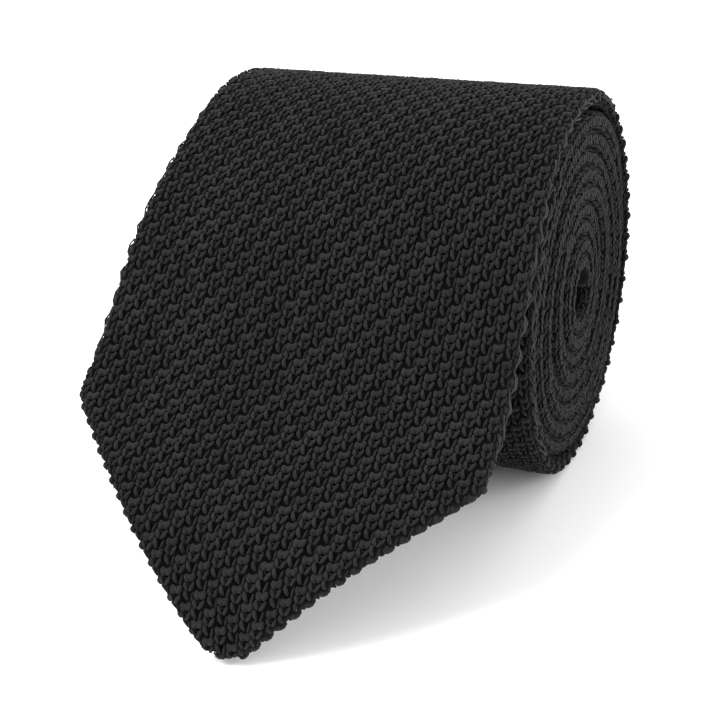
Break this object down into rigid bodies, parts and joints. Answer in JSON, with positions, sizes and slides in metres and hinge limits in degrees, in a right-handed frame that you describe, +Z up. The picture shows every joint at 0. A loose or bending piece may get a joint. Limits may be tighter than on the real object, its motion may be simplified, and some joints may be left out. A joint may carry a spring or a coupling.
{
  "type": "necktie",
  "caption": "Charcoal knitted necktie with a pointed end, rolled up, its blade coming over the top of the roll and lying out in front.",
  "frame": {"origin": "middle of the part on the surface that it lies on", "axes": "+X along the axis of the roll to the right of the pointed end, +Y from the pointed end back to the roll, +Z up"},
  "size_m": [0.075, 0.1319, 0.0779],
  "materials": {
    "knit_face": "matte tuck-stitch knit with raised loops",
    "knit_back": "matte knit, back of the fabric",
    "satin_lining": "smooth satin",
    "thread": "matte sewing thread",
    "ribbon": "plain woven ribbon, no print"
  },
  "bodies": {
    "roll": {"blade_front_wound": "knit_face", "blade_back_wound": "knit_back", "tail_front": "knit_face", "tail_back": "knit_back", "neck_seam": "knit_back", "core_stitch": "thread", "tail_lining": "satin_lining", "tail_bar_tack": "thread", "blade_bar_tack": "thread", "back_seam_wound": "thread", "keeper_loop": "knit_face", "keeper_tacks": "thread", "blank_label": "ribbon", "label_stitches": "thread", "care_tag": "ribbon"},
    "crown": {"crown_front": "knit_face", "crown_back": "knit_back", "crown_seam": "thread"},
    "drape": {"drape_front": "knit_face", "drape_back": "knit_back", "drape_lining": "satin_lining"},
    "point": {"point_front": "knit_face", "point_back": "knit_back", "point_lining": "satin_lining", "point_hem_stitches": "thread"}
  },
  "joints": [
    {"name": "crown_lift", "type": "hinge", "parent": "roll", "child": "crown", "pos_m": [0, 0.04312, 0.07232], "axis": [-1, 0, 0], "range_deg": [0, 60]},
    {"name": "drape_lift", "type": "hinge", "parent": "crown", "child": "drape", "pos_m": [0, 0.00053, 0.066], "axis": [-0.9999, -0.0072, 0.008], "range_deg": [0, 60]},
    {"name": "point_lift", "type": "hinge", "parent": "drape", "child": "point", "pos_m": [0, -0.03907, 0.02996], "axis": [-0.9843, -0.1181, 0.1312], "range_deg": [0, 60]}
  ]
}
